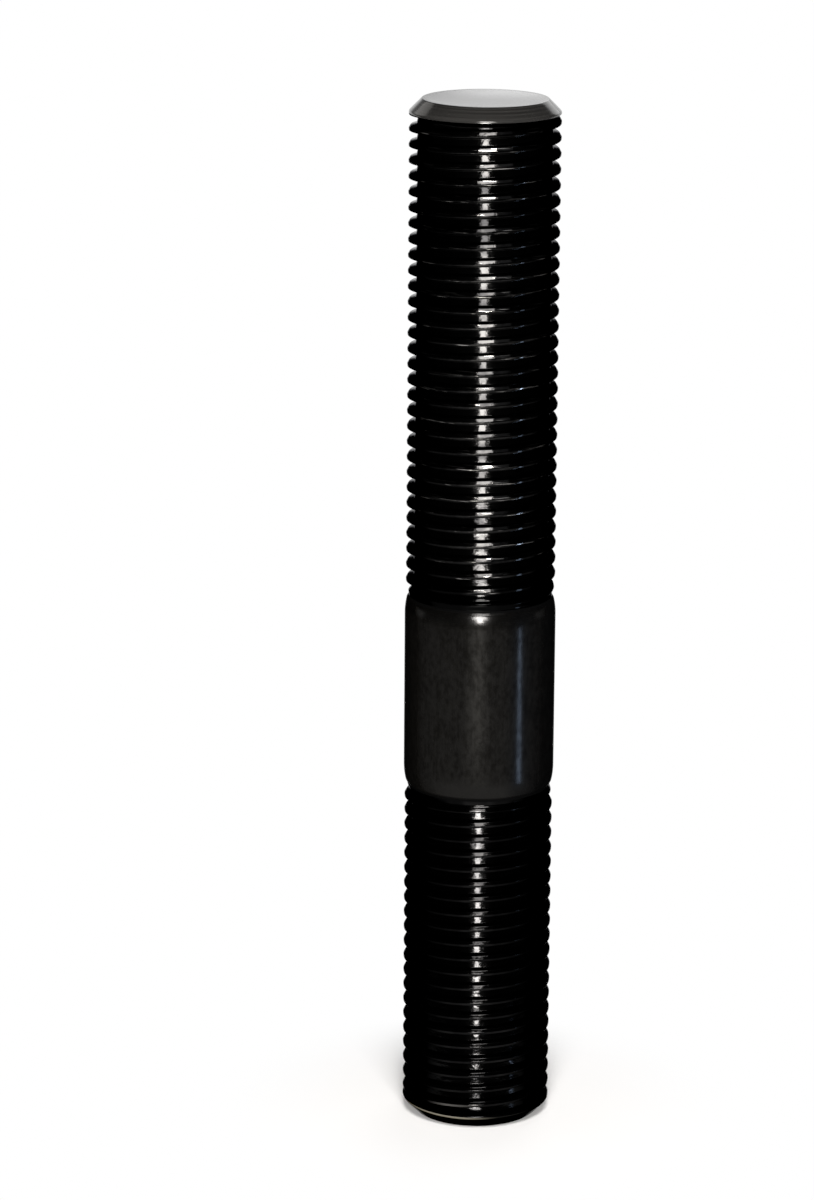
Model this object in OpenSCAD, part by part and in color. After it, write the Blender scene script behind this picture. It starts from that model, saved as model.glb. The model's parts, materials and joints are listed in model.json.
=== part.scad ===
// Double-ended wheel stud: a plain shank between two threaded ends, the longer one for the wheel nut.
// It stands on its hub end. The axis is +Z and the origin is the middle of the hub end's face.

/* [Lengths] */
// Length of the plain shank at its full diameter
shank_length = 13.5; // [6:0.5:60]
// Length from the shank to the face of the nut end
nut_end_length = 40.5; // [20:0.5:48]
// Length from the shank to the face of the hub end
hub_end_length = 29.5; // [15:0.5:36]

/* [Shank] */
// Diameter of the plain shank
shank_d = 12.1; // [11.5:0.1:16]
// Length of the taper from the shank down to each neck
taper_length = 1.3; // [0.5:0.1:3]
// Length of the plain neck between a taper and its thread
neck_length = 0.6; // [0.5:0.1:3]

/* [Thread] */
// Diameter over the thread's crests
crest_d = 11.96; // [11:0.01:12]
// Distance from one turn of the thread to the next
pitch = 1.25; // [1.25:0.25:1.75]
// Height and width of the chamfer at each end
end_chamfer = 1; // [0.5:0.1:1.5]

/* [Hidden] */

// Metric thread form: a 60 degree groove, with its depth and flats as shares of the pitch
flank_slope = tan(30);
thread_depth = 0.6134 * pitch;
crest_flat = pitch / 8;
crest_r = crest_d / 2;
root_r = crest_r - thread_depth;

// The neck has the thread's pitch diameter, as the bar has before its thread is rolled
neck_r = crest_r - 0.3248 * pitch;
crest_bevel = crest_r - neck_r;
shank_r = shank_d / 2;

// Heights on the axis
shank_low = hub_end_length;
shank_high = shank_low + shank_length;
stud_height = shank_high + nut_end_length;
hub_thread_top = shank_low - taper_length - neck_length;
nut_thread_foot = shank_high + taper_length + neck_length;

// The groove's cutter: straight steps in a turn, turns that it takes to lift out, and how far it stands clear
steps_per_turn = 24;
runout_turns = 2;
cutter_margin = 0.06;
cutter_r = (crest_r + cutter_margin) / cos(180 / steps_per_turn);
corners = 4;

// Half the groove's width along the axis, at radius r
function half_width(r) = (pitch - crest_flat) / 2 - (crest_r - r) * flank_slope;

// The cutter's corners as [radius, height] about the middle of the groove
function cutter_section(lift) = [
    [cutter_r, -half_width(cutter_r)],
    [root_r + lift, -half_width(root_r)],
    [root_r + lift, half_width(root_r)],
    [cutter_r, half_width(cutter_r)]
];

// How far the groove's root has lifted, so many steps from the end that runs out
function runout_lift(steps_left) =
    max(0, 1 - steps_left / (runout_turns * steps_per_turn)) * (neck_r - root_r + cutter_margin);

// A right-hand helical groove from one height up to another, as a solid to cut away
module thread_cutter(from, to, runs_out_at_top) {
    steps = ceil((to - from) / pitch * steps_per_turn);
    points = [
        for (i = [0 : steps])
        let (angle = 360 * i / steps_per_turn, height = from + pitch * i / steps_per_turn)
        for (corner = cutter_section(runout_lift(runs_out_at_top ? steps - i : i)))
        [corner[0] * cos(angle), corner[0] * sin(angle), height + corner[1]]
    ];
    walls = [
        for (i = [0 : steps - 1], c = [0 : corners - 1])
        let (a = i * corners + c, b = i * corners + (c + 1) % corners)
        each [[b + corners, b, a], [a + corners, b + corners, a]]
    ];
    first_cap = [for (c = [0 : corners - 1]) c];
    last_cap = [for (c = [corners - 1 : -1 : 0]) steps * corners + c];
    polyhedron(points, concat([first_cap], walls, [last_cap]));
}

// The turned bar before its threads
module blank() {
    rotate_extrude($fn = 96)
    polygon([
        [0, 0],
        [crest_r - end_chamfer, 0],
        [crest_r, end_chamfer],
        [crest_r, hub_thread_top - crest_bevel],
        [neck_r, hub_thread_top],
        [neck_r, shank_low - taper_length],
        [shank_r, shank_low],
        [shank_r, shank_high],
        [neck_r, shank_high + taper_length],
        [neck_r, nut_thread_foot],
        [crest_r, nut_thread_foot + crest_bevel],
        [crest_r, stud_height - end_chamfer],
        [crest_r - end_chamfer, stud_height],
        [0, stud_height]
    ]);
}

module stud() {
    color([0.07, 0.07, 0.075])
    difference() {
        blank();
        thread_cutter(-pitch, hub_thread_top, true);
        thread_cutter(nut_thread_foot, stud_height + pitch, false);
    }
}

stud();
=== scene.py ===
import json
import math

import bmesh
import bpy
from mathutils import Matrix, Quaternion, Vector


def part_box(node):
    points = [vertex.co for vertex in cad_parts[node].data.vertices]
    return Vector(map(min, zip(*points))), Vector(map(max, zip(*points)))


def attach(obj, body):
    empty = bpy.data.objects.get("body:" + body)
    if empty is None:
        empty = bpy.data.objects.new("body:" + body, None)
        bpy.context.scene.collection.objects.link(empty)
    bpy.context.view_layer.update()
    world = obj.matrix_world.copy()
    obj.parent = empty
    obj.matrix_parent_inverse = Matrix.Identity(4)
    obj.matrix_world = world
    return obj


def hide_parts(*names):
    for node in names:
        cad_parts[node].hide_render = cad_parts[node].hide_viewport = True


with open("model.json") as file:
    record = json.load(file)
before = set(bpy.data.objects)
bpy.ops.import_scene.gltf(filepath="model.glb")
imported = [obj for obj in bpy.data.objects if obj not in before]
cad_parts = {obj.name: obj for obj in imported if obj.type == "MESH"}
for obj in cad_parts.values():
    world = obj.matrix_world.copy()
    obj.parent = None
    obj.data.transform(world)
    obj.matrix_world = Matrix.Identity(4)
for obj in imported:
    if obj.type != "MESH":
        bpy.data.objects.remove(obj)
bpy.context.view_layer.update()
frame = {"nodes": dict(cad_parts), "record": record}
scene = bpy.context.scene
scene.view_settings.view_transform = "Standard"
mm = 0.001
mounts = {mount["name"]: mount for mount in frame["record"]["mounts"]}
print("frame loaded:", ", ".join(frame["nodes"]))

cameraView = {
    "place": (0, -0.350, 0.1348),  # metres, the stud's foot is the origin
    "yaw": 0.962,  # degrees to the left, which sets the stud right of the middle
    "tilt": 14.697,  # degrees down
    "roll": 0.368,
    "lens": 135.33,
    "sensor": 36,  # along the picture's long side
}


def setCamera(view):
    yaw, tilt, roll = (math.radians(view[name]) for name in ("yaw", "tilt", "roll"))
    data = bpy.data.cameras.new("benchCamera")
    data.lens = view["lens"]
    data.sensor_width = view["sensor"]
    camera = bpy.data.objects.new("benchCamera", data)
    scene.collection.objects.link(camera)
    turn = Matrix.Rotation(yaw, 4, "Z") @ Matrix.Rotation(math.pi / 2 - tilt, 4, "X")
    camera.matrix_world = Matrix.Translation(view["place"]) @ turn @ Matrix.Rotation(roll, 4, "Z")
    scene.camera = camera


class Value:
    # a shader socket: maths written on it adds Math nodes
    def __init__(self, finish, socket):
        self.finish = finish
        self.socket = socket

    def maths(self, operation, *terms):
        return self.finish.node("ShaderNodeMath", {"operation": operation}, dict(enumerate(terms)))

    def __add__(self, other):
        return self.maths("ADD", self, other)

    def __sub__(self, other):
        return self.maths("SUBTRACT", self, other)

    def __rsub__(self, other):
        return self.maths("SUBTRACT", other, self)

    def __mul__(self, other):
        return self.maths("MULTIPLY", self, other)

    def __abs__(self):
        return self.maths("ABSOLUTE", self)

    __radd__ = __add__
    __rmul__ = __mul__


class Finish:
    # one material and the nodes that make it
    def __init__(self, name):
        self.material = bpy.data.materials.new(name)
        self.material.use_nodes = True
        self.tree = self.material.node_tree
        self.tree.nodes.clear()

    def node(self, kind, settings=None, sockets=None, out=0):
        made = self.tree.nodes.new(kind)
        for key, setting in (settings or {}).items():
            setattr(made, key, setting)
        for key, value in (sockets or {}).items():
            if isinstance(value, Value):
                self.tree.links.new(value.socket, made.inputs[key])
            else:
                made.inputs[key].default_value = value
        return Value(self, made.outputs[out]) if made.outputs else made

    def place(self):
        return self.node("ShaderNodeTexCoord", out="Object")

    def along(self, axis):
        # millimetres from the origin along one axis
        return self.node("ShaderNodeSeparateXYZ", {}, {0: self.place()}, out=axis) * (1 / mm)

    def axisRadius(self):
        # millimetres from the stud's axis
        flat = self.node("ShaderNodeCombineXYZ", {}, {0: self.along("X"), 1: self.along("Y")})
        return self.node("ShaderNodeVectorMath", {"operation": "LENGTH"}, {0: flat}, out="Value")

    def noise(self, grains):
        # grains to the metre, across the axis and along it
        across, along = grains
        scaled = self.node("ShaderNodeMapping", {}, {"Vector": self.place(), "Scale": (across, across, along)})
        sockets = {"Vector": scaled, "Scale": 1.0, "Detail": 3, "Roughness": 0.6}
        return self.node("ShaderNodeTexNoise", {"noise_dimensions": "3D"}, sockets, out="Fac")

    def ease(self, value, low, high):
        # 0 below low, 1 above high and smooth between them
        sockets = {"Value": value, "From Min": low, "From Max": high}
        return self.node("ShaderNodeMapRange", {"interpolation_type": "SMOOTHSTEP"}, sockets)

    def band(self, value, riseFrom, riseTo, fallFrom, fallTo):
        # 1 between the rise and the fall, and 0 outside them
        return self.ease(value, riseFrom, riseTo) * (1 - self.ease(value, fallFrom, fallTo))

    def mix(self, amount, first, second):
        # the node's sockets 6 and 7 are its two colours
        first, second = ((*side, 1) if isinstance(side, tuple) else side for side in (first, second))
        return self.node("ShaderNodeMix", {"data_type": "RGBA"}, {0: amount, 6: first, 7: second}, out=2)

    def bump(self, height, strength, distance):
        sockets = {"Height": height, "Strength": strength, "Distance": distance * mm}
        return self.node("ShaderNodeBump", {}, sockets)

    def principled(self, tint, sockets):
        sockets = {"Specular Tint": (*tint, 1), **sockets}
        return self.node("ShaderNodeBsdfPrincipled", {}, sockets)

    def output(self, surface):
        self.node("ShaderNodeOutputMaterial", {}, {"Surface": surface})
        return self.material


stage = {
    "front": -2.0,  # metres along Y
    "wall": 1.2,
    "halfWidth": 2.5,
    "sweep": 0.3,  # radius of the curve from floor to wall
    "top": 0.6,
    "sweepParts": 16,
    "colour": (0.9, 0.9, 0.9),
    "white": (6.5, 22),  # millimetres from the axis between which the floor turns into the white background
    "shade": (240, 400),  # heights between which the wall darkens
    "shadeDepth": 0.75,
    "dim": (130, 250),  # what the stud mirrors of the floor in front darkens between these distances
    "dimDepth": 0.9,
    "behind": (0, 100),  # the floor behind the stud isn't dimmed
}


def paleFloor(spec):
    # white to the camera and to mirrored light, and paint that takes the shadow beside the stud
    finish = Finish("paleFloor")
    distance = finish.axisRadius()
    camera, glossy, through = (finish.node("ShaderNodeLightPath", out=name + " Ray")
                               for name in ("Is Camera", "Is Glossy", "Is Transmission"))
    white = finish.ease(distance, *spec["white"]) * (camera + glossy + through)
    inFront = 1 - finish.ease(finish.along("Y"), *spec["behind"])
    dim = finish.ease(distance, *spec["dim"]) * inFront * (1 - camera)
    shade = finish.ease(finish.along("Z"), *spec["shade"])
    fade = (1 - spec["shadeDepth"] * shade) * (1 - spec["dimDepth"] * dim)
    paint = finish.node("ShaderNodeBsdfDiffuse", {}, {"Color": (*spec["colour"], 1)})
    glow = finish.node("ShaderNodeEmission", {}, {
        "Color": finish.mix(fade, (0.0, 0.0, 0.0), (1.0, 1.0, 1.0)), "Strength": 1.0})
    return finish.output(finish.node("ShaderNodeMixShader", {}, {0: white, 1: paint, 2: glow}))


def setStage(spec):
    # a floor that sweeps up into a wall behind the stud
    outline = [(spec["front"], 0.0)]
    for part in range(spec["sweepParts"] + 1):
        angle = math.pi / 2 * part / spec["sweepParts"]
        outline.append((spec["wall"] - spec["sweep"] * (1 - math.sin(angle)),
                        spec["sweep"] * (1 - math.cos(angle))))
    outline.append((spec["wall"], spec["top"]))
    points = [(side * spec["halfWidth"], y, z) for y, z in outline for side in (-1, 1)]
    faces = [(2 * i, 2 * i + 1, 2 * i + 3, 2 * i + 2) for i in range(len(outline) - 1)]
    mesh = bpy.data.meshes.new("paleFloor")
    mesh.from_pydata(points, [], faces)
    mesh.shade_smooth()
    mesh.materials.append(paleFloor(spec))
    floor = bpy.data.objects.new("paleFloor", mesh)
    scene.collection.objects.link(floor)


warm, soft, cool = (1.0, 0.98, 0.96), (1.0, 0.98, 0.92), (0.95, 0.97, 1.0)
blue, cream, plainWhite = (0.55, 0.72, 1.0), (1.0, 0.98, 0.95), (1.0, 1.0, 1.0)
lamps = {  # place and aim in metres, size across and up, watts, colour, degrees turned about the upright
    "squarePanel": ((0, -0.42, 0.1615), (0, 0, 0.1615), (0.075, 0.087), 0.86, warm, 0),
    "ovalPanel": ((0, -0.42, 0.0985), (0, 0, 0.0985), (0.15, 0.03), 1.1, warm, 0),
    "lowPanel": ((0, -0.42, 0.060), (0, 0, 0.060), (0.055, 0.04), 0.72, warm, 0),
    "barPanel": ((0.014, -0.28, 0.375), (0, 0, 0.06), (0.14, 0.10), 1.5, warm, 0),
    "midPanel": ((0, -0.332, 0.3255), (0, 0, 0.03), (0.085, 0.04), 0.26, warm, 0),
    "streakPanel": ((0.15, -0.25, 0.375), (0, 0, 0.06), (0.18, 0.10), 0.028, cool, 0),
    "floorKicker": ((0.1197, -0.0615, 0.0005), (0.1197, -0.0615, 1), (0.10, 0.013), 0.122, blue, -27.2),
    "frontGlow": ((-0.006, -0.163, 0.0005), (-0.006, -0.163, 1), (0.03, 0.10), 0.040, soft, 0),
    "wideGlow": ((-0.007, -0.160, 0.0005), (-0.007, -0.160, 1), (0.075, 0.10), 0.050, soft, 0),
    "backLeft": ((-0.45, 0.53, 0.45), (0, 0, 0.08), (0.25, 0.25), 0.2, cream, 0),
    "backFill": ((0.12, 0.40, 0.30), (0, 0, 0.045), (0.30, 0.30), 0.4, plainWhite, 0),
}
worldGrey = 0.03


def setLamps():
    for name, (place, aim, size, watts, colour, turn) in lamps.items():
        data = bpy.data.lights.new(name, "AREA")
        data.shape = "RECTANGLE"
        data.size, data.size_y = size
        data.energy = watts
        data.color = colour
        lamp = bpy.data.objects.new(name, data)
        lamp.location = place
        facing = (Vector(aim) - Vector(place)).to_track_quat("-Z", "Y")
        lamp.rotation_euler = (Quaternion((0, 0, 1), math.radians(turn)) @ facing).to_euler()
        lamp.visible_camera = False
        scene.collection.objects.link(lamp)
    world = bpy.data.worlds.new("dimStudio")
    world.use_nodes = True
    background = world.node_tree.nodes["Background"]
    background.inputs["Color"].default_value = (worldGrey, worldGrey, worldGrey, 1)
    scene.world = world


stud = {  # millimetres and degrees; a tilt is measured from the upright
    "pitch": 1.25,
    "chamfer": 1.0,
    "chamferTilt": 45,
    "chamferRound": 0.25,
    "rimRound": 0.12,
    "cupTilt": 2.0,  # the end faces are dished by the rolling of the threads
    "taper": 0.62,  # from the shank's straight side to the nut end's thread
    "lowTaper": 1.6,  # and to the hub end's
    "shoulderTilt": 12.5,
    "shoulderRound": 5.5,
    "edgeRound": 0.3,
    "taperTilt": 40,
    "neckRound": 0.38,
    "neckDepth": 0.22,  # below the crests
    "flankTilt": 76,
    "rootTilt": 12,
    "rootFlat": 0.50,
    "rootRound": 0.03,
    "lowerCorner": 0.03,
    "crestTilt": 0,
    "crestFlat": 0.16,
    "bevelTilt": 30,
    "bevelFlat": 0.25,
    "upperCorner": 0.04,
    "hold": 0.025,  # rows this near the edges of a flat keep its shading flat
    "runIn": 0.3,  # length over which the groove starts behind the chamfer
    "runOut": 1.1,  # length over which the thread ends at the neck
    "hubTurn": 0.5,  # turns by which the hub end's thread is set round the axis
    "columns": 90,
    "cupParts": 12,
    "rimParts": 4,
    "chamferParts": 6,
    "shoulderParts": 8,
    "straightParts": 24,
    "weld": 0.0005,  # points nearer than this are joined
}
slots = {"thread": 0, "shank": 1, "nutEnd": 2, "hubEnd": 3}
crestRadius = mounts["nut_thread"]["dims"]["r_mm"]
shankRadius = mounts["shank"]["dims"]["r_mm"]
neckRadius = crestRadius - stud["neckDepth"]
shankMiddle = mounts["shank"]["pos_m"][2] / mm
shankHalf = mounts["shank"]["dims"]["length_mm"] / 2
shankTop, shankFoot = shankMiddle + shankHalf, shankMiddle - shankHalf
highNeck, lowNeck = shankTop + stud["taper"], shankFoot - stud["lowTaper"]
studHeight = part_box("stud")[1][2] / mm


def walk(start, steps):
    # follows an outline upwards; a step is its tilt at both ends, its length or radius, and its parts
    radius, height = start
    points = [start]
    for tiltFrom, tiltTo, size, parts in steps:
        for part in range(parts):
            a = math.radians(tiltFrom + (tiltTo - tiltFrom) * part / parts)
            b = math.radians(tiltFrom + (tiltTo - tiltFrom) * (part + 1) / parts)
            if tiltFrom == tiltTo:
                radius -= math.sin(a) * size / parts
                height += math.cos(a) * size / parts
            else:
                hollow = -1 if tiltTo < tiltFrom else 1
                radius += hollow * size * (math.cos(b) - math.cos(a))
                height += hollow * size * (math.sin(b) - math.sin(a))
            points.append((radius, height))
    return points


def tangent(size, tiltFrom, tiltTo):
    # how much of each straight an arc between two tilts takes up
    return size * math.tan(math.radians(abs(tiltTo - tiltFrom)) / 2)


def endOutline(spec):
    # from the middle of the hub end's face to the full diameter above its chamfer
    face, slant, cup = -90, -spec["chamferTilt"], spec["cupTilt"]
    rim = crestRadius - spec["chamfer"]
    cupRadius = (rim - tangent(spec["rimRound"], face - cup, slant)) / math.sin(math.radians(cup))
    cupDepth = cupRadius * (1 - math.cos(math.radians(cup)))
    slope = spec["chamfer"] / math.cos(math.radians(slant))
    slope -= tangent(spec["rimRound"], face, slant) + tangent(spec["chamferRound"], slant, 0)
    return walk((0, cupDepth), [
        (face, face - cup, cupRadius, spec["cupParts"]),
        (face - cup, slant, spec["rimRound"], spec["rimParts"]),
        (slant, slant, slope, spec["chamferParts"]),
        (slant, 0, spec["chamferRound"], spec["rimParts"]),
    ])


def shoulderSteps(spec):
    # from the shank's straight side up to the neck
    parts = spec["shoulderParts"]
    steps = [
        (0, spec["shoulderTilt"], spec["shoulderRound"], parts),
        (spec["shoulderTilt"], spec["taperTilt"], spec["edgeRound"], parts),
        (spec["taperTilt"], 0, spec["neckRound"], parts),
    ]
    drop = shankRadius - neckRadius + walk((0, 0), steps)[-1][0]
    slope = drop / math.sin(math.radians(spec["taperTilt"]))
    steps.insert(2, (spec["taperTilt"], spec["taperTilt"], slope, 1))
    return steps


def shankOutline(spec):
    # from the lower neck to the upper one
    shoulder = shoulderSteps(spec)
    below = [(-tiltTo, -tiltFrom, size, parts) for tiltFrom, tiltTo, size, parts in reversed(shoulder)]
    straight = highNeck - lowNeck - 2 * walk((0, 0), shoulder)[-1][1]
    outline = walk((neckRadius, lowNeck), below + [(0, 0, straight, spec["straightParts"])] + shoulder)
    return outline[:-1] + [(neckRadius, highNeck)]


def threadProfile(spec):
    # one pitch of the thread, from the middle of the groove up to the next
    flank, crest, root = spec["flankTilt"], spec["crestTilt"], spec["rootTilt"]
    bevel, hold = spec["bevelTilt"], spec["hold"]

    def steps(lowerFlank, upperFlank):
        return [
            (root, root, spec["rootFlat"] / 2 - hold, 1),
            (root, root, hold, 1),
            (root, -flank, spec["rootRound"], 1),
            (-flank, -flank, lowerFlank, 1),
            (-flank, crest, spec["lowerCorner"], 2),
            (crest, crest, spec["crestFlat"] - hold, 1),
            (crest, crest, hold, 1),
            (bevel, bevel, hold, 1),
            (bevel, bevel, spec["bevelFlat"] - 2 * hold, 1),
            (bevel, bevel, hold, 1),
            (bevel, flank, spec["upperCorner"], 1),
            (flank, flank, upperFlank, 1),
            (flank, root, spec["rootRound"], 1),
            (root, root, hold, 1),
            (root, root, spec["rootFlat"] / 2 - hold, 1),
        ]

    # the flanks are as long as closes the profile over one pitch
    radius, height = walk((0, 0), steps(0, 0))[-1]
    both = (spec["pitch"] - height) / math.cos(math.radians(flank))
    more = -radius / math.sin(math.radians(flank))
    points = walk((0, 0), steps((both + more) / 2, (both - more) / 2))
    top = max(radius for radius, height in points)
    return [(crestRadius + radius - top, height) for radius, height in points[:-1]]


def ease(value, low, high):
    share = min(1, max(0, (value - low) / (high - low)))
    return share * share * (3 - 2 * share)


def threadRows(spec, profile, low, high, start, chamferAtTop):
    # helical rows between two heights, with the groove fading at the chamfer and at the neck
    pitch, columns = spec["pitch"], spec["columns"]
    first = math.floor((low - start) / pitch) - 2
    last = math.ceil((high - start) / pitch) + 1
    rows = []
    for turn in range(first, last + 1):
        for radius, rise in profile:
            row = []
            for column in range(columns):
                height = start + pitch * (turn + column / columns) + rise
                height = min(high, max(low, height))
                toChamfer = high - height if chamferAtTop else height - low
                toNeck = height - low if chamferAtTop else high - height
                depth = ease(toChamfer, 0, spec["runIn"])
                full = ease(toNeck, 0, spec["runOut"])
                wall = crestRadius + depth * (radius - crestRadius)
                row.append((neckRadius + full * (wall - neckRadius), height))
            rows.append(row)
    return rows


def addTube(mesh, rows, slot, shift=0, limits=frozenset()):
    # joins rows of points into faces; the last column meets the first one, shift rows further up
    columns = len(rows[0])
    verts = []
    for row in rows:
        ring = []
        for column, (radius, height) in enumerate(row):
            angle = 2 * math.pi * column / columns
            point = (radius * math.cos(angle) * mm, radius * math.sin(angle) * mm, height * mm)
            ring.append(mesh.verts.new(point))
        verts.append(ring)
    for i in range(len(rows) - 1 - shift):
        for column in range(columns):
            across, up = (column + 1, 0) if column + 1 < columns else (0, shift)
            corners = [(i, column), (i + up, across), (i + up + 1, across), (i + 1, column)]
            heights = {rows[r][c][1] for r, c in corners}
            if len(heights) == 1 and heights <= limits:
                continue  # the rows past a thread's end lie flat on it
            face = mesh.faces.new([verts[r][c] for r, c in corners])
            face.material_index = slot
            face.smooth = True


def buildStud(spec):
    def rings(outline):
        return [[point] * spec["columns"] for point in outline]

    def addThread(low, high, start, chamferAtTop):
        rows = threadRows(spec, profile, low, high, start, chamferAtTop)
        addTube(mesh, rows, slots["thread"], len(profile), {low, high})

    mesh = bmesh.new()
    profile = threadProfile(spec)
    hubEnd = endOutline(spec)
    nutEnd = [(radius, studHeight - height) for radius, height in reversed(hubEnd)]
    nutStart = studHeight - mounts["nut_thread"]["dims"]["length_mm"]
    addTube(mesh, rings(hubEnd), slots["hubEnd"])
    addThread(hubEnd[-1][1], lowNeck, spec["hubTurn"] * spec["pitch"], False)
    addTube(mesh, rings(shankOutline(spec)), slots["shank"])
    addThread(highNeck, nutEnd[0][1], nutStart, True)
    addTube(mesh, rings(nutEnd), slots["nutEnd"])
    bmesh.ops.remove_doubles(mesh, verts=mesh.verts, dist=spec["weld"] * mm)
    bmesh.ops.dissolve_degenerate(mesh, edges=mesh.edges, dist=spec["weld"] * mm)
    data = bpy.data.meshes.new("rolledStud")
    mesh.to_mesh(data)
    mesh.free()
    piece = bpy.data.objects.new("rolledStud", data)
    scene.collection.objects.link(piece)
    return piece


threadLook = {  # millimetres; noises in grains to the metre, across the axis and along it
    "lines": (250, 30000),  # fine lines along the turns
    "patches": (900, 900),
    "turns": (70, 450),  # some turns are brighter than others
    "dents": (1500, 1500),
    "streaks": (330, 9000),
    "dark": (0.006, 0.0059, 0.006),
    "pale": (0.022, 0.0215, 0.021),
    "bare": (0.38, 0.365, 0.345),
    # painted shade: the black of the thread's necks and run-outs next to the shank
    "neck": (0.004, 0.004, 0.004),
    "deep": (0.0025, 0.0025, 0.0025),  # the deepest black of the painted side shade, on both sides
    "patchShare": 0.4,  # of the brightness, and the turns have the rest
    "palest": (0.38, 0.60),
    "hubBright": 0.4,  # the hub end's brightness against the nut end's
    "pastShank": (1.2, 1.9),  # distance from the shank over which the painted neck shade ends
    "streakEdge": (0.60, 0.66),
    "crest": (-0.30, -0.26),  # from the crest's radius
    "rubbed": (-0.025, -0.01),
    "front": (-4.5, -2.5),
    "footHeight": (1.4, 1.6, 2.2, 3.4),
    "footAcross": (-5.6, -4.4, -2.5, 1.0),
    "footWear": 0.25,
    "nearNeck": (2.3, 3.2),  # above the shank
    "nearNeckSide": (0.9, 1.7),  # distance from the middle line over which the painted side shade deepens
    # ranges of the painted side shade on the nut end and on the hub end
    "nutSide": (1.2, 3.2),
    "nutDeep": 0.75,
    "hubSide": (2.0, 4.0),
    "hubInnerSide": (0.8, 1.6),
    "hubInnerHeight": (7.0, 13.0),
    "hubInnerDeep": 0.7,
    "roughness": (0.06, 0.05),  # the least, and what the patches add
    "bumps": (2.0, 0.8, 0.02),  # turns, dents and lines
    "bumpDepth": 0.02,
    "tint": (0.06, 0.06, 0.065),
}


def rolledThread(look):
    finish = Finish("rolledThread")
    patches, turns = finish.noise(look["patches"]), finish.noise(look["turns"])
    x, y, height = (finish.along(axis) for axis in "XYZ")
    radius, side = finish.axisRadius(), abs(x)
    onNutEnd = finish.ease(height, shankFoot, shankTop)
    onHubEnd = 1 - onNutEnd

    blend = patches * look["patchShare"] + turns * (1 - look["patchShare"])
    bright = finish.ease(blend, *look["palest"]) * (look["hubBright"] + (1 - look["hubBright"]) * onNutEnd)
    colour = finish.mix(bright, look["dark"], look["pale"])

    # thin bright lines on the crests, and some at the foot; the crest lines are bare-steel wear kept to the
    # front side, so they are also painted highlight streaks
    crest, rubbed = (finish.ease(radius, *(crestRadius + part for part in look[name]))
                     for name in ("crest", "rubbed"))
    streaks = finish.ease(finish.noise(look["streaks"]), *look["streakEdge"])
    front = 1 - finish.ease(y, *look["front"])
    foot = finish.band(height, *look["footHeight"]) * finish.band(x, *look["footAcross"])
    worn = crest * onNutEnd * streaks * front + look["footWear"] * rubbed * foot
    colour = finish.mix(worn, colour, look["bare"])
    # painted shade: next to the shank the thread turns to the necks' black
    neckShadeMask = finish.ease(abs(height - shankMiddle), *(shankHalf + part for part in look["pastShank"]))
    colour = finish.mix(neckShadeMask, look["neck"], colour)

    # painted shade: the black is deeper away from the middle line, which holds back the lamps' reflections on
    # the turns at the sides
    nearNeck = onNutEnd * (1 - finish.ease(height, *(shankTop + part for part in look["nearNeck"])))
    inner = onHubEnd * finish.ease(height, *look["hubInnerHeight"])
    deep = onHubEnd * finish.ease(side, *look["hubSide"])
    deep = deep + look["hubInnerDeep"] * inner * finish.ease(side, *look["hubInnerSide"])
    deep = deep + nearNeck * finish.ease(side, *look["nearNeckSide"])
    deep = deep + (1 - nearNeck) * onNutEnd * look["nutDeep"] * finish.ease(side, *look["nutSide"])
    colour = finish.mix(deep, colour, look["deep"])

    least, more = look["roughness"]
    turnBump, dentBump, lineBump = look["bumps"]
    bumps = turns * turnBump + finish.noise(look["dents"]) * dentBump + finish.noise(look["lines"]) * lineBump
    return finish.output(finish.principled(look["tint"], {
        "Base Color": colour, "Metallic": 1.0, "Roughness": least + more * patches,
        "Normal": finish.bump(bumps, 1.0, look["bumpDepth"])}))


shankLook = {  # millimetres; noises in grains to the metre, across the axis and along it
    "grain": (6000, 350),  # fine upright grain
    "mottle": (700, 500),
    "speckle": (2600, 1800),
    "shares": (0.2, 0.3, 0.5),  # of grain, mottle and speckle
    "palest": (0.36, 0.62),
    "dark": (0.0026, 0.0024, 0.0021),
    "pale": (0.0057, 0.0054, 0.0049),
    # painted shade: the black of the shank's ends next to the necks
    "neck": (0.002, 0.002, 0.002),
    "lowEdge": (0.1, 0.3),  # above the lower neck, where the painted neck shade ends
    "highEdge": (-0.25, -0.12),  # below the upper neck, where the painted neck shade begins
    "taperHeight": (-1.6, -1.3, -0.6, 0.3),  # about the shank's foot, where a painted light band lies on the lower taper
    "taperSide": (2.2, 5.2),
    "taper": (0.008, 0.0077, 0.0072),
    "duskSide": (1.8, 3.0),  # painted shade: one side is darker
    "duskDepth": 0.45,
    "dusk": (0.0008, 0.0010, 0.0014),
    "polish": (-0.7, -0.2),  # below the shank's top, where its shoulder is smoother
    "satinRoughness": (0.26, 0.10, 0.18),  # the least, and what the tone and the polish add
    "satinMetal": 0.4,
    "glossRoughness": (0.15, 0.01),  # the least, and what the polish adds
    "gloss": (0.022, 0.0215, 0.021),
    "polished": (0.030, 0.0295, 0.029),
    "glossShare": (0.13, 0.17, 0.4),  # the least, and what the tone and the polish add
    "bump": 0.10,
    "bumpDepth": 0.01,
    "tint": (0.05, 0.05, 0.05),
}


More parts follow.
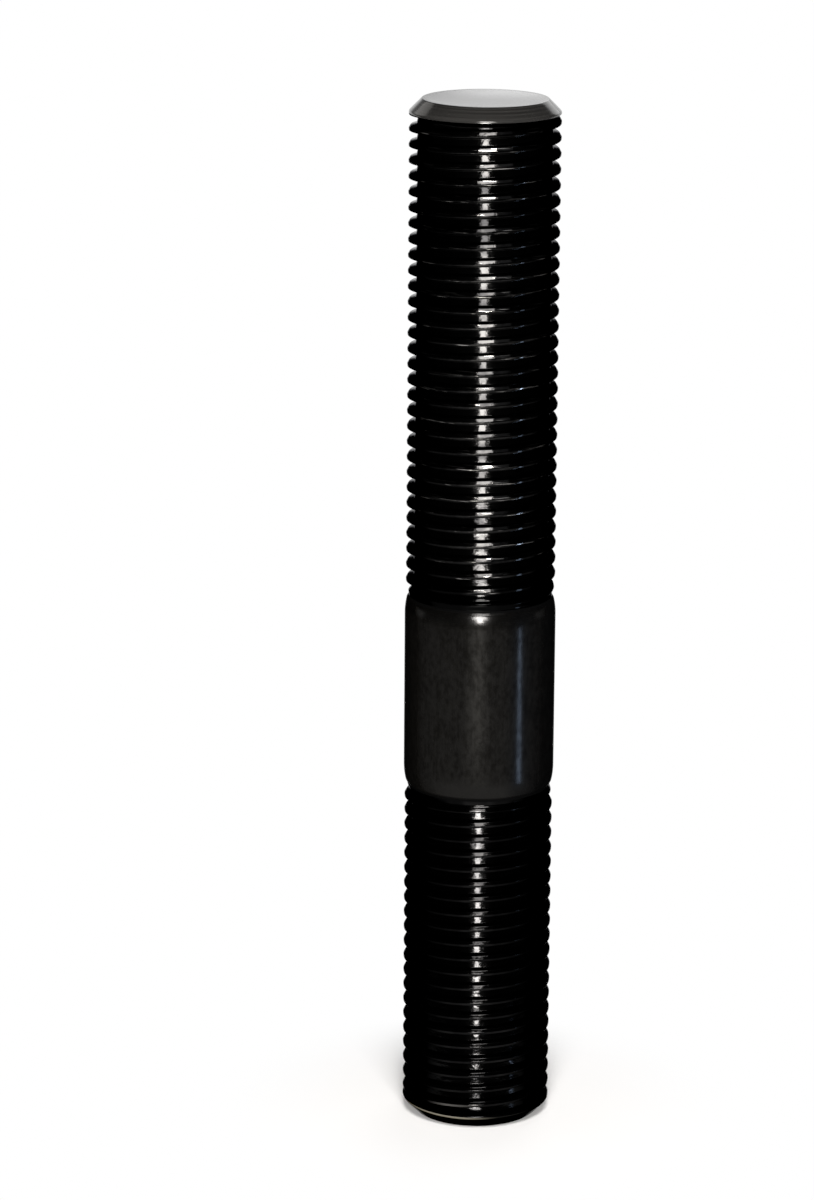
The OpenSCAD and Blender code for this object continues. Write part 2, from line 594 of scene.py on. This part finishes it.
def satinShank(look):
    finish = Finish("satinShank")
    x, height = finish.along("X"), finish.along("Z")
    grainShare, mottleShare, speckleShare = look["shares"]
    tone = finish.noise(look["grain"]) * grainShare + finish.noise(look["mottle"]) * mottleShare
    tone = tone + finish.noise(look["speckle"]) * speckleShare
    paler = finish.ease(tone, *look["palest"])
    # painted shade: next to both necks the shank is black and loses its gloss
    clear = finish.band(height, *(lowNeck + part for part in look["lowEdge"]),
                        *(highNeck + part for part in look["highEdge"]))
    polish = finish.ease(height, *(shankTop + part for part in look["polish"]))
    # painted light: the lower taper is paler near the middle line, which carries the shank's lit face down
    taper = finish.band(height, *(shankFoot + part for part in look["taperHeight"]))
    taper = taper * (1 - finish.ease(abs(x), *look["taperSide"]))
    # painted shade: the shank is darker towards one side, in colour and in gloss
    dusk = look["duskDepth"] * finish.ease(x, *look["duskSide"])

    body = finish.mix(paler, look["dark"], look["pale"])
    body = finish.mix(taper, body, look["taper"])
    body = finish.mix(dusk, body, look["dusk"])
    normal = finish.bump(tone, look["bump"], look["bumpDepth"])
    least, byTone, byPolish = look["satinRoughness"]
    satin = finish.principled(look["tint"], {
        "Base Color": finish.mix(clear, look["neck"], body), "Metallic": look["satinMetal"],
        "Roughness": least + byTone * tone + byPolish * polish, "Specular IOR Level": 0.0, "Normal": normal})
    least, byPolish = look["glossRoughness"]
    gloss = finish.principled(look["tint"], {
        "Base Color": finish.mix(polish, look["gloss"], look["polished"]), "Metallic": 1.0,
        "Roughness": least + byPolish * polish, "Normal": normal})
    least, byTone, byPolish = look["glossShare"]
    share = (least + byTone * paler + byPolish * polish) * clear * (1 - dusk)
    return finish.output(finish.node("ShaderNodeMixShader", {}, {0: share, 1: satin, 2: gloss}))


endLook = {  # millimetres; what both ends share
    "rings": 9,  # turned rings to the millimetre
    "ringWander": 0.06,
    "patches": (500, 500),
    "ringShare": 0.6,  # of the brightness, and the patches have the rest
    "palest": (0.4, 0.65),
    "edge": (-0.05, 0.1),  # about the chamfer's inner rim
    "bare": (0.25, 0.235, 0.19),  # the foot's edge is rubbed bare on one side
    "bareHeight": (0.85, 0.95, 1.2, 1.4),
    "bareAcross": (-1.5, 2.0),
    "roughness": (0.10, 0.08),  # the least, and what the patches add
    "bump": 0.15,
    "bumpDepth": 0.01,
}
nutEndLook = {
    **endLook,
    "dark": (0.022, 0.0215, 0.021),
    "pale": (0.040, 0.039, 0.037),
    "chamfer": (0.056, 0.054, 0.051),
    "chamferMetal": 0.5,
    "tint": (1, 1, 1),
}
hubEndLook = {
    **endLook,
    "dark": (0.006, 0.006, 0.006),
    "pale": (0.012, 0.0115, 0.011),
    "chamfer": (0.018, 0.018, 0.017),
    "chamferMetal": 1.0,
    "tint": (0.05, 0.05, 0.05),
}


def turnedEnd(name, look):
    finish = Finish(name)
    x, y, height = (finish.along(axis) for axis in "XYZ")
    radius, wander = finish.axisRadius(), look["ringWander"]
    rings = finish.node("ShaderNodeCombineXYZ", {}, {0: radius * look["rings"], 1: x * wander, 2: y * wander})
    lines = finish.node("ShaderNodeTexNoise", {}, {"Vector": rings, "Scale": 1.0, "Detail": 2.0}, out="Fac")
    patches = finish.noise(look["patches"])
    rim = crestRadius - stud["chamfer"]
    edge = finish.ease(radius, *(rim + part for part in look["edge"]))
    blend = lines * look["ringShare"] + patches * (1 - look["ringShare"])
    colour = finish.mix(finish.ease(blend, *look["palest"]), look["dark"], look["pale"])
    colour = finish.mix(edge, colour, finish.mix(lines, (0.0, 0.0, 0.0), look["chamfer"]))
    worn = finish.band(height, *look["bareHeight"]) * (1 - finish.ease(x, *look["bareAcross"]))
    colour = finish.mix(worn, colour, look["bare"])
    lost = 1 - look["chamferMetal"]
    least, more = look["roughness"]
    return finish.output(finish.principled(look["tint"], {
        "Base Color": colour, "Metallic": 1 - lost * edge if lost else 1.0,
        "Roughness": least + more * patches, "Normal": finish.bump(lines, look["bump"], look["bumpDepth"])}))


setCamera(cameraView)
setStage(stage)
setLamps()
print("camera, floor and lamps are set")

piece = buildStud(stud)
finishes = {
    "thread": rolledThread(threadLook),
    "shank": satinShank(shankLook),
    "nutEnd": turnedEnd("turnedEnd", nutEndLook),
    "hubEnd": turnedEnd("blackEnd", hubEndLook),
}
for name in slots:
    piece.data.materials.append(finishes[name])
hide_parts("stud")
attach(piece, "root")
print("stud built:", len(piece.data.polygons), "faces")
